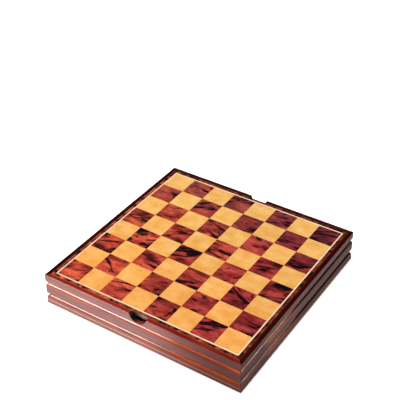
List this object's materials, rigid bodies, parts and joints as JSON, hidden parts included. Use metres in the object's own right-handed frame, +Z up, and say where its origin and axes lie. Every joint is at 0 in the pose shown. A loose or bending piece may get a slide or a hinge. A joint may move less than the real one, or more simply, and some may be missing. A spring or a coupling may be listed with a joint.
{
  "type": "chess box with drawers",
  "caption": "Low square chess box: inlaid playing board over lined drawers that pull out at opposite sides by finger notches, with stepped moulded sides.",
  "frame": {"origin": "on the ground under the middle of the box, in the plane of the felt pads' undersides", "axes": "+Z up, the playing surface faces +Z; -Y points out of the front drawer's face and +Y out of the back drawer's; the dark square at the -X, -Y corner is a1 for a player at -Y"},
  "size_m": [0.382, 0.382, 0.062],
  "materials": {
    "case_wood": "planed, unpolished",
    "base_board": "sanded board",
    "drawer_wood": "planed, thin clear lacquer",
    "light_veneer": "high gloss lacquer",
    "dark_veneer": "high gloss lacquer",
    "line_veneer": "high gloss lacquer",
    "border_veneer": "high gloss lacquer",
    "lacquered_wood": "high gloss tinted lacquer",
    "lining_felt": "short-pile felt",
    "pad_felt": "felt",
    "screw_steel": "bright"
  },
  "bodies": {
    "case": {"board_core": "case_wood", "light_squares": "light_veneer", "dark_squares": "dark_veneer", "inlay_line": "line_veneer", "border_veneer": "border_veneer", "left_moulding": "lacquered_wood", "right_moulding": "lacquered_wood", "left_case_side": "case_wood", "right_case_side": "case_wood", "centre_divider": "case_wood", "base_panel": "base_board", "drawer_runners": "case_wood", "drawer_stops": "case_wood", "base_screws": "screw_steel", "felt_pads": "pad_felt"},
    "front_drawer": {"front_drawer_face": "lacquered_wood", "front_drawer_inner_front": "drawer_wood", "front_drawer_left_side": "drawer_wood", "front_drawer_right_side": "drawer_wood", "front_drawer_back": "drawer_wood", "front_drawer_bottom": "base_board", "front_drawer_lining": "lining_felt", "front_drawer_bay_walls": "lining_felt", "front_drawer_screws": "screw_steel"},
    "back_drawer": {"back_drawer_face": "lacquered_wood", "back_drawer_inner_front": "drawer_wood", "back_drawer_left_side": "drawer_wood", "back_drawer_right_side": "drawer_wood", "back_drawer_back": "drawer_wood", "back_drawer_bottom": "base_board", "back_drawer_lining": "lining_felt", "back_drawer_bay_walls": "lining_felt", "back_drawer_screws": "screw_steel"}
  },
  "joints": [
    {"name": "front_drawer_slide", "type": "slide", "parent": "case", "child": "front_drawer", "axis": [0, -1, 0], "range_m": [0, 0.14]},
    {"name": "back_drawer_slide", "type": "slide", "parent": "case", "child": "back_drawer", "axis": [0, 1, 0], "range_m": [0, 0.14]}
  ]
}
